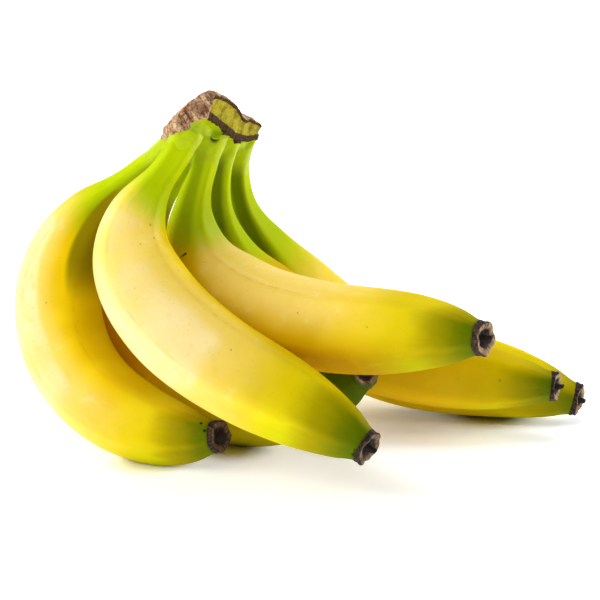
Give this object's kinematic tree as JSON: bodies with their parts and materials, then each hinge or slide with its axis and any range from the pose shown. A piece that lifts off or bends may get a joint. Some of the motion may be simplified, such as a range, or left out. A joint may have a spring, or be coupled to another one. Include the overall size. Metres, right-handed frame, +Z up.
{
  "type": "bunch of bananas",
  "caption": "Bunch of ripe bananas hanging from one cut crown, standing on a flat surface with its tips swept to one side, for kitchen, shop and still-life scenes",
  "frame": {"origin": "on the surface the bunch rests on, under the middle of its box", "axes": "+X the way the tips sweep, the longest extent; +Y away from the front banana, towards the back one; +Z up through the crown"},
  "size_m": [0.2636, 0.1736, 0.1617],
  "materials": {
    "peel": "smooth waxy yellow peel, green at the stalk and the tip",
    "crown": "dry brown skin with a pale yellow-green cut face",
    "blossom": "dry, dark and shrivelled"
  },
  "bodies": {
    "root": {"crown": "crown", "banana_far_left": "peel", "banana_front": "peel", "banana_right": "peel", "banana_back_right": "peel", "banana_far_right": "peel", "banana_under": "peel", "blossom_end_far_left": "blossom", "blossom_end_front": "blossom", "blossom_end_right": "blossom", "blossom_end_back_right": "blossom", "blossom_end_far_right": "blossom", "blossom_end_under": "blossom"}
  },
  "joints": []
}
